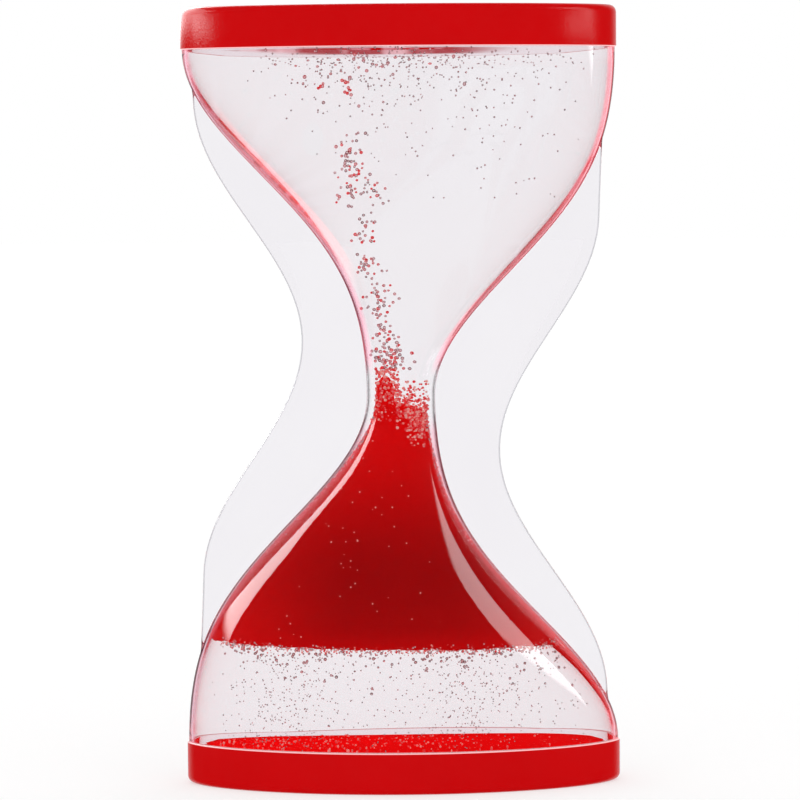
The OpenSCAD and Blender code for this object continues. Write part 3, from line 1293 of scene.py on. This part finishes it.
@dataclass
class PackedMass:
    """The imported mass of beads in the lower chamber, from its ragged tip in the neck to its ragged foot."""

    chamber: Chamber
    foot_z: float = 24.3 * MM
    fall: float = 1.4 * MM
    cling_drop: float = 12.0 * MM
    cling_from: float = 0.945
    neck_z: float = 62.0 * MM
    shoulder_z: float = 66.0 * MM
    tip_z: float = 70.4 * MM
    dome_z: float = 67.5 * MM
    dome_share: float = 0.9
    tip_left: float = -3.5 * MM
    tip_right: float = -0.9 * MM
    gap: float = 0.16 * MM
    neck_gap: float = 0.85 * MM
    open_z: float = 44.0 * MM
    grain: float = 0.5 * MM
    grain_depth: float = 0.16 * MM
    ragged: float = 0.3 * MM
    levels: int = 170
    around: int = 220
    sharp_degrees: float = 180.0

    # Share, pace round the mass and start of the two noises that make the foot ragged
    RAGGED = ((1.0, 11, 3.1), (0.6, 37, 7.7))
    # How soon the raggedness and the clinging beads end over the foot
    RAGGED_POWER = 6
    CLING_POWER = 8
    # Shares of the way out of the rings on the flat of the foot and of the tip
    FOOT_REACHES = (0.3, 0.6, 0.85, 0.965)
    TIP_REACHES = (0.6, 0.3)

    def foot_at(self, x: float) -> float:
        """Height of the foot at a sideways place."""
        return self.foot_z - self.fall * x / self.chamber.body_w

    def half_sizes(self, z: float) -> tuple[float, float, float]:
        """Middle and half sizes of the mass at a height.

        Args:
            z: Height.

        Returns:
            Sideways place, half width and half depth. Over the neck only a spire on the left goes on.
        """
        gap = mix(self.gap, self.neck_gap, clamp01((z - self.open_z) / (self.neck_z - self.open_z)) ** 2)
        middle, half_w, half_d = self.chamber.hollow(z, gap)
        if z <= self.neck_z:
            return middle, half_w, half_d
        step = clamp01((z - self.neck_z) / (self.shoulder_z - self.neck_z))
        climb = clamp01((z - self.neck_z) / (self.tip_z - self.neck_z))
        left = mix(middle - half_w, self.tip_left, climb**2)
        right = mix(middle + half_w, self.tip_right, step**4)
        narrow = (right - left) / (2 * half_w)
        dome = math.sqrt(1 - self.dome_share * clamp01((z - self.dome_z) / (self.tip_z - self.dome_z)) ** 2)
        return (left + right) / 2, dome * (right - left) / 2, dome * half_d * math.sqrt(narrow)

    def corner(self, z: float, turn: float, reach: float = 1.0) -> Point:
        """Point of the mass's face.

        Args:
            z: Height before the foot's fall to the right.
            turn: Angle round the mass.
            reach: Share of the way out from the middle.

        Returns:
            The point, sunk a little by the grain of the beads.
        """
        c = self.chamber
        share = clamp01((self.neck_z - z) / (self.neck_z - self.foot_z))
        middle, half_w, _ = self.half_sizes(z)
        lean = self.fall * share * (middle + half_w * math.cos(turn)) / c.body_w
        ragged = sum(
            part * noise.noise(Vector((math.cos(turn) * pace, math.sin(turn) * pace, start)))
            for part, pace, start in self.RAGGED
        )
        height = z - lean + self.ragged * ragged * share**self.RAGGED_POWER
        if reach == 1.0:
            cling = clamp01((math.cos(turn) - self.cling_from) / (1 - self.cling_from))
            height -= self.cling_drop * cling * share**self.CLING_POWER
        middle, half_w, half_d = self.half_sizes(height)
        x, y = c.lens_at(half_w, half_d, turn)
        grain = (1 + noise.noise(Vector((middle + x, y, height)) / self.grain)) / 2
        sink = 1 - self.grain_depth * grain / half_d
        return middle + x * sink * reach, y * sink * reach, height

    def build(self) -> None:
        """Makes the mass and puts it in place of its solid."""
        heights = [mix(self.foot_z, self.tip_z, i / self.levels) for i in range(self.levels + 1)]
        levels = [(self.foot_z, reach) for reach in self.FOOT_REACHES]
        levels += [(z, 1.0) for z in heights]
        levels += [(self.tip_z, reach) for reach in self.TIP_REACHES]
        rings = [[self.corner(z, turn, reach) for turn in turns(self.around)] for z, reach in levels]
        piece = loft_piece("packed_bead_mass", rings, PackedBeads(), self.sharp_degrees)
        settle(piece, Body.TIMER, "red_beads", "bead_mass")


@dataclass(frozen=True)
class Bead:
    """One loose bead."""

    centre: Point
    radius: float
    tone: float


@dataclass(frozen=True)
class Lot:
    """Beads of one kind: how many there are and what each one is drawn from, with lengths in millimetres.

    The depth lies between the front wall at -1 and the rear wall at 1.
    """

    count: int
    x: Draw
    z: Draw
    depth: Span | float
    radius: Span
    tone: Span
    top_z: float = math.inf


@dataclass(frozen=True)
class Drift:
    """Beads that thin out below the roof, like a Lot but with the drops and reaches that place them."""

    count: int
    x: Draw
    # Least drop, and the most that it grows by
    drop: Span
    # Mean of that growth at the left and at the right
    reach: Span
    depth: Span
    radius: Span
    tone: Span


@dataclass
class BeadCloud:
    """A group of loose beads that is one piece."""

    chamber: Chamber
    name: str
    body: Body
    nodes: tuple[str, ...]
    seed: int
    clearance: float = 0.3 * MM
    beads: list[Bead] = field(default_factory=list)
    rng: random.Random = field(init=False)

    BALL_STEPS = 2
    SQUASH = (0.93, 1.07)

    def __post_init__(self) -> None:
        """Starts the group's own row of random draws."""
        self.rng = random.Random(self.seed)

    def scatter(self) -> None:
        """Fills the list of beads."""
        raise NotImplementedError

    def take(self, draw: Draw) -> float:
        """Number drawn in the given way."""
        spread, *numbers = draw
        return getattr(self.rng, spread.value)(*numbers)

    def one_of(self, *draws: Draw) -> float:
        """Number drawn in one of some ways, each as likely."""
        return self.rng.choice([self.take(draw) for draw in draws])

    def add(self, x: float, z: float, depth_share: float, radius: float, tone: float) -> None:
        """Adds a bead at a place in the liquid."""
        margin = radius + self.clearance
        self.beads.append(Bead(self.chamber.inside(x, z, depth_share, margin), radius, tone))

    def strew(self, lot: Lot) -> None:
        """Adds the beads of a lot.

        Args:
            lot: The beads.
        """
        draw = self.rng
        for _ in range(lot.count):
            x = self.take(lot.x) * MM
            z = min(lot.top_z, self.take(lot.z)) * MM
            depth = lot.depth if isinstance(lot.depth, float) else draw.uniform(*lot.depth)
            self.add(x, z, depth, draw.uniform(*lot.radius) * MM, draw.uniform(*lot.tone))

    def build(self) -> None:
        """Makes the group's mesh and puts it in place."""
        self.scatter()
        ball = bmesh.new()
        bmesh.ops.create_icosphere(ball, subdivisions=self.BALL_STEPS, radius=1.0)
        corners = np.array([v.co for v in ball.verts])
        sides = np.array([[v.index for v in f.verts] for f in ball.faces])
        ball.free()
        points: list[np.ndarray] = []
        faces: list[Corners] = []
        for i, bead in enumerate(self.beads):
            squash = np.array([self.rng.uniform(*self.SQUASH) for _ in range(3)])
            points.append(np.array(bead.centre) + corners * bead.radius * squash)
            faces += [tuple(row) for row in (sides + i * len(corners)).tolist()]
        mesh = bpy.data.meshes.new(self.name)
        mesh.from_pydata(np.concatenate(points).tolist(), [], faces)
        mesh.shade_smooth()
        paint_corners(mesh, BEAD_TONE, np.repeat([bead.tone for bead in self.beads], len(corners)))
        # Painted light: a pale core on the faces of each bead that are turned front and back
        paint_corners(mesh, BEAD_LIT_CORE, np.tile(np.abs(corners[:, 1]), len(self.beads)))
        piece = put(self.name, mesh)
        LooseBeads().dress(piece)
        settle(piece, self.body, "red_beads", *self.nodes)


@dataclass
class RisingColumn(BeadCloud):
    """The column of beads that climbs from the neck and leans to the left."""

    # Sideways place, height, reach sideways and reach upwards of each cluster in millimetres, and its beads
    CLUSTERS = (
        (-1.7, 72.7, 1.0, 1.0, 46),
        (1.0, 73.0, 0.6, 1.1, 7),
        (-1.9, 75.8, 1.2, 1.6, 38),
        (-2.8, 79.8, 1.0, 1.6, 24),
        (-3.1, 85.2, 1.4, 2.2, 40),
        (-4.6, 90.2, 1.1, 1.4, 22),
        (-5.6, 94.8, 1.0, 1.2, 16),
        (-5.2, 98.2, 1.0, 1.0, 10),
        (-3.2, 102.2, 1.1, 1.0, 14),
        (-7.2, 104.2, 1.7, 2.2, 46),
        (-7.8, 109.6, 1.3, 2.0, 32),
    )
    LOW_Z = 71.8
    TOP_Z = 113.0
    DEPTH = (-0.18, 0.18)
    RADIUS = (0.19, 0.31)
    TONES = ((Spread.EVEN, 0.1, 0.35), (Spread.EVEN, 0.35, 0.65))

    def scatter(self) -> None:
        """Strews beads round each cluster's middle."""
        draw = self.rng
        for x, z, reach, climb, count in self.CLUSTERS:
            for _ in range(count):
                at_x = draw.gauss(x, reach) * MM
                at_z = max(self.LOW_Z, min(self.TOP_Z, draw.gauss(z, climb))) * MM
                depth = draw.uniform(*self.DEPTH)
                tone = self.one_of(*self.TONES)
                self.add(at_x, at_z, depth, draw.uniform(*self.RADIUS) * MM, tone)


@dataclass
class RoofScatter(BeadCloud):
    """Small beads that have gathered under the roof and drift down the right side."""

    FINE = Drift(
        count=560, x=(Spread.PEAKED, -26, 34, 2), drop=(0.8, 25), reach=(3.0, 8.5),
        depth=(0.35, 0.95), radius=(0.10, 0.17), tone=(0.0, 0.2),
    )
    LARGE = Drift(
        count=42, x=(Spread.ROUND, -6, 8), drop=(1.0, 9), reach=(2.8, 2.8),
        depth=(0.4, 0.95), radius=(0.2, 0.32), tone=(0.15, 0.5),
    )
    # Sideways places between which the reach goes from its left value to its right one
    LEFT_X = -15
    RIGHT_X = 25
    # Sideways place and height of the clumps
    CLUMPS = ((-8.8, 121.1), (-8.1, 119.2), (-13.0, 120.6))
    CLUMP_REACH = 0.35
    CLUMP = {"count": 5, "depth": -0.6, "radius": (0.22, 0.32), "tone": (0.45, 0.65)}

    def scatter(self) -> None:
        """Strews fine beads below the roof, with a few larger ones and clumps among them."""
        draw = self.rng
        for lot in (self.FINE, self.LARGE):
            for _ in range(lot.count):
                x = self.take(lot.x)
                reach = mix(*lot.reach, clamp01((x - self.LEFT_X) / (self.RIGHT_X - self.LEFT_X)))
                least, most = lot.drop
                z = self.chamber.roof_z - (least + min(most, draw.expovariate(1 / reach))) * MM
                depth = draw.choice((-1, 1)) * draw.uniform(*lot.depth)
                self.add(x * MM, z, depth, draw.uniform(*lot.radius) * MM, draw.uniform(*lot.tone))
        for place in self.CLUMPS:
            x, z = ((Spread.ROUND, middle, self.CLUMP_REACH) for middle in place)
            self.strew(Lot(x=x, z=z, **self.CLUMP))


@dataclass
class HangingScatter(BeadCloud):
    """Beads that hang under the mass, with fine ones down to the floor."""

    mass: PackedMass | None = None

    # Larger beads close under the mass
    RING_COUNT = 230
    RING_X = (-30, 31)
    RING_DROP = (0.5, 7)
    RING_REACH = 1.9
    RING_DEPTH = (-0.95, 0.2)
    RING_RADIUS = (0.14, 0.28)
    RING_TONE = (0.08, 0.27)
    # Fine beads between the floor and the mass
    FINE_COUNT = 850
    FINE_X = ((Spread.ROUND, -19, 5), (Spread.ROUND, 10, 5), (Spread.EVEN, -29, 31))
    OVER_FLOOR = 0.6 * MM
    UNDER_MASS = 2 * MM
    FINE_DEPTH = (-0.95, 0.95)
    FINE_RADIUS = (0.08, 0.13)
    FINE_TONE = (0.0, 0.15)
    # Pale beads on the floor
    FLOOR_COUNT = 300
    FLOOR_X = (-34, 26, -20)
    FLOOR_DEPTH = (-0.97, 0.97)
    FLOOR_RADIUS = (0.10, 0.20)
    FLOOR_TONE = (0.72, 0.92)
    # Height of their middles in radii
    FLOOR_RISE = 1.2

    def scatter(self) -> None:
        """Strews larger beads close under the mass and fine ones down to the floor."""
        draw = self.rng
        floor_z = self.chamber.floor_z
        for _ in range(self.RING_COUNT):
            x = draw.uniform(*self.RING_X) * MM
            least, most = self.RING_DROP
            drop = (least + min(most, draw.expovariate(1 / self.RING_REACH))) * MM
            radius = draw.uniform(*self.RING_RADIUS) * MM
            depth = draw.uniform(*self.RING_DEPTH)
            self.add(x, self.mass.foot_at(x) - drop, depth, radius, draw.uniform(*self.RING_TONE))
        for _ in range(self.FINE_COUNT):
            x = self.one_of(*self.FINE_X) * MM
            z = mix(floor_z + self.OVER_FLOOR, self.mass.foot_z - self.UNDER_MASS, draw.random())
            depth = draw.uniform(*self.FINE_DEPTH)
            self.add(x, z, depth, draw.uniform(*self.FINE_RADIUS) * MM, draw.uniform(*self.FINE_TONE))
        for _ in range(self.FLOOR_COUNT):
            x = draw.triangular(*self.FLOOR_X) * MM
            radius = draw.uniform(*self.FLOOR_RADIUS) * MM
            tone = draw.uniform(*self.FLOOR_TONE)
            self.add(x, floor_z + self.FLOOR_RISE * radius, draw.uniform(*self.FLOOR_DEPTH), radius, tone)


@dataclass
class MassGrains(BeadCloud):
    """Beads that make the mass's tip, sides and foot ragged, and pale specks on its front."""

    mass: PackedMass | None = None

    SPIRE = Lot(
        count=330, x=(Spread.EVEN, -3.8, -0.3), z=(Spread.EVEN, 62.5, 71.8),
        depth=(-0.9, 0.0), radius=(0.12, 0.28), tone=(0.5, 1.0),
    )
    SHOULDER = Lot(
        count=330, x=(Spread.EVEN, -0.8, 4.2), z=(Spread.ROUND, 65.0, 2.2), top_z=69.6,
        depth=(-1.0, -0.5), radius=(0.12, 0.28), tone=(0.55, 1.0),
    )
    NECK = Lot(
        count=170, x=(Spread.PEAKED, 0.6, 4.2, 3.4), z=(Spread.PEAKED, 58.2, 65.5, 63.5),
        depth=(-1.0, -0.8), radius=(0.12, 0.24), tone=(0.6, 1.0),
    )
    SPECKS = Lot(
        count=70, x=(Spread.ROUND, -8, 8), z=(Spread.EVEN, 26, 60),
        depth=-1.0, radius=(0.07, 0.14), tone=(0.85, 1.0),
    )
    SIDE_COUNT = 400
    SIDE_Z = (40, 65)
    # Shares of the way from the mass's middle to its side
    SIDE_REACH = (0.95, 1.0)
    SIDE_DEPTH = (-0.9, 0.2)
    SIDE_RADIUS = (0.09, 0.18)
    SIDE_TONES = ((Spread.EVEN, 0.1, 0.3), (Spread.EVEN, 0.5, 0.95))
    FOOT_COUNT = 1150
    FOOT_X = (-31, 31)
    # Middle of the grains over the foot, and how far they stray
    FOOT_RISE = (-0.05, 0.4)
    FOOT_DEPTH = (-1.0, -0.9)
    FOOT_RADIUS = (0.08, 0.17)
    FOOT_TONES = ((Spread.EVEN, 0.2, 0.35), (Spread.EVEN, 0.55, 0.7), (Spread.EVEN, 0.75, 1.0))

    def scatter(self) -> None:
        """Strews beads over the tip, along the side edges and the foot, and over the front."""
        draw = self.rng
        for lot in (self.SPIRE, self.SHOULDER, self.NECK):
            self.strew(lot)
        for _ in range(self.SIDE_COUNT):
            z = draw.uniform(*self.SIDE_Z) * MM
            middle, half_w, _ = self.mass.half_sizes(z)
            x = middle + draw.choice((-1, 1)) * half_w * draw.uniform(*self.SIDE_REACH)
            tone = self.one_of(*self.SIDE_TONES)
            self.add(x, z, draw.uniform(*self.SIDE_DEPTH), draw.uniform(*self.SIDE_RADIUS) * MM, tone)
        for _ in range(self.FOOT_COUNT):
            x = draw.uniform(*self.FOOT_X) * MM
            z = self.mass.foot_at(x) + draw.gauss(*self.FOOT_RISE) * MM
            tone = self.one_of(*self.FOOT_TONES)
            self.add(x, z, draw.uniform(*self.FOOT_DEPTH), draw.uniform(*self.FOOT_RADIUS) * MM, tone)
        self.strew(self.SPECKS)


@dataclass
class Softbox:
    """A soft light that shows as a long pale reflection on glossy faces."""

    name: str
    azimuth: float
    spread: float
    low_z: float
    high_z: float
    radiance: float
    fade_from: float = 0.0
    fade: float = 0.02
    slant: float = 0.0
    distance: float = 0.3
    lights_only: tuple[str, ...] = ()

    def build(self) -> None:
        """Makes the light, upright and facing the timer's axis."""
        turn = math.radians(self.azimuth)
        width = 2 * self.distance * math.tan(math.radians(self.spread / 2))
        height = self.high_z - self.low_z
        light = bpy.data.lights.new(self.name, "AREA")
        light.shape = "RECTANGLE"
        light.size = width
        light.size_y = height
        light.energy = self.radiance * math.pi * width * height
        light.use_nodes = True
        nodes = Nodes(light.node_tree)
        place = nodes.add("ShaderNodeNewGeometry", output="Parametric")
        across, up = (nodes.along(axis, place) for axis in "XY")
        lit = (up + self.slant * across).ramp(self.fade_from, self.fade_from + self.fade)
        nodes.fill(light.node_tree.nodes["Emission"], {"Strength": lit})
        lamp = put(self.name, light)
        side, front = self.distance * math.sin(turn), -self.distance * math.cos(turn)
        lamp.location = (side, front, (self.low_z + self.high_z) / 2)
        lamp.rotation_euler = (math.pi / 2, 0.0, turn)
        lamp.visible_camera = False
        lamp.visible_transmission = False
        lamp.visible_diffuse = False
        if self.lights_only:
            lit_pieces = bpy.data.collections.new(f"{self.name}_pieces")
            for name in self.lights_only:
                lit_pieces.objects.link(bpy.data.objects[name])
            lamp.light_linking.receiver_collection = lit_pieces
        LOG.info("%s: light", self.name)


@dataclass
class Studio:
    """Pale floor, white surroundings, soft lights and the camera."""

    floor_r: float = 4.0
    floor_steps: int = 96
    camera_distance: float = 764 * MM
    camera_rise: float = 3.4
    camera_roll: float = 0.46
    near_clip: float = 10 * MM
    aim: Point = (-0.17 * MM, 0.0, 66.2 * MM)
    view_width: float = 138.2 * MM
    sensor: float = 36.0
    dim: float = 0.04
    rear_fade: Span = (0.45, 0.8)
    bounces: int = 24

    CAPS = ("red_top_cap", "red_bottom_cap")
    LIGHTS = (
        Softbox("left_softbox", azimuth=-131, spread=88, low_z=0.125, high_z=0.36, radiance=9.5, fade=0.15),
        Softbox("right_softbox", azimuth=78, spread=23, low_z=0.092, high_z=0.36, radiance=5.2,
                fade_from=0.55, fade=0.15, slant=0.6),
        Softbox("left_cap_light", azimuth=-91, spread=24, low_z=0.10, high_z=0.30, radiance=9.0,
                distance=1.5, lights_only=CAPS),
        Softbox("right_cap_light", azimuth=76, spread=18, low_z=0.10, high_z=0.30, radiance=6.0,
                distance=1.5, lights_only=CAPS),
    )

    def build(self) -> None:
        """Makes everything that stands round the timer."""
        self.build_floor()
        self.build_world()
        for light in self.LIGHTS:
            light.build()
        self.build_camera()
        scene = bpy.context.scene
        scene.view_settings.view_transform = "Standard"
        scene.cycles.max_bounces = self.bounces
        scene.cycles.transmission_bounces = self.bounces
        scene.cycles.use_denoising = True

    def build_floor(self) -> None:
        """Makes the round floor that the timer stands on."""
        points = circle(self.floor_r, 0.0, self.floor_steps)
        floor = make_piece("studio_floor", points, [tuple(range(self.floor_steps))], PaleFloor())
        floor.visible_glossy = False

    def build_world(self) -> None:
        """Makes white surroundings whose front and sides look dim in mirror reflections."""
        world = bpy.data.worlds.new("white_studio")
        bpy.context.scene.world = world
        world.use_nodes = True
        world.cycles.sampling_method = "NONE"
        nodes = Nodes(world.node_tree)
        mirrored = nodes.add("ShaderNodeLightPath", output="Is Reflection Ray")
        matt = nodes.add("ShaderNodeLightPath", output="Is Diffuse Ray")
        heading = nodes.add("ShaderNodeTexCoord", output="Generated")
        ahead = 1 - nodes.along("Y", heading).ramp(*self.rear_fade)
        strength = 1 - (1 - self.dim) * mirrored * (1 - matt) * ahead
        nodes.fill(world.node_tree.nodes["Background"], {"Color": WHITE, "Strength": strength})

    def build_camera(self) -> None:
        """Makes the camera at the photograph's view."""
        data = bpy.data.cameras.new("photo_camera")
        data.sensor_width = self.sensor
        data.lens = self.sensor * self.camera_distance / self.view_width
        data.clip_start = self.near_clip
        camera = put("photo_camera", data)
        rise = math.radians(self.camera_rise)
        back = Vector((0.0, -math.cos(rise), math.sin(rise)))
        turn = (-back).to_track_quat("-Z", "Y").to_matrix().to_4x4()
        roll = Matrix.Rotation(math.radians(-self.camera_roll), 4, "Z")
        camera.matrix_world = Matrix.Translation(Vector(self.aim) + back * self.camera_distance) @ turn @ roll
        bpy.context.scene.camera = camera


def main() -> None:
    """Builds the timer's pieces and the studio in order."""
    logging.basicConfig(level=logging.INFO, format="%(name)s: %(message)s")
    chamber = Chamber.from_frame()
    for half in Half:
        ClearHalf(chamber, half).build()
    for end in End:
        RedCap(chamber, end).build()
    for end in End:
        EndPlug(chamber, end).build()
    FillStopper(chamber).build()
    LiquidFilling(chamber).build()
    mass = PackedMass(chamber)
    mass.build()
    for beads in (
        MassGrains(chamber, "mass_grains", Body.TIMER, (), seed=11, clearance=0.02 * MM, mass=mass),
        RisingColumn(chamber, "rising_bead_column", Body.RISING, ("rising_beads",), seed=23),
        RoofScatter(chamber, "roof_bead_scatter", Body.TIMER, ("roof_beads",), seed=37),
        HangingScatter(chamber, "hanging_bead_scatter", Body.TIMER, ("hanging_beads",), seed=51, mass=mass),
    ):
        beads.build()
    Studio().build()


if __name__ == "__main__":
    main()
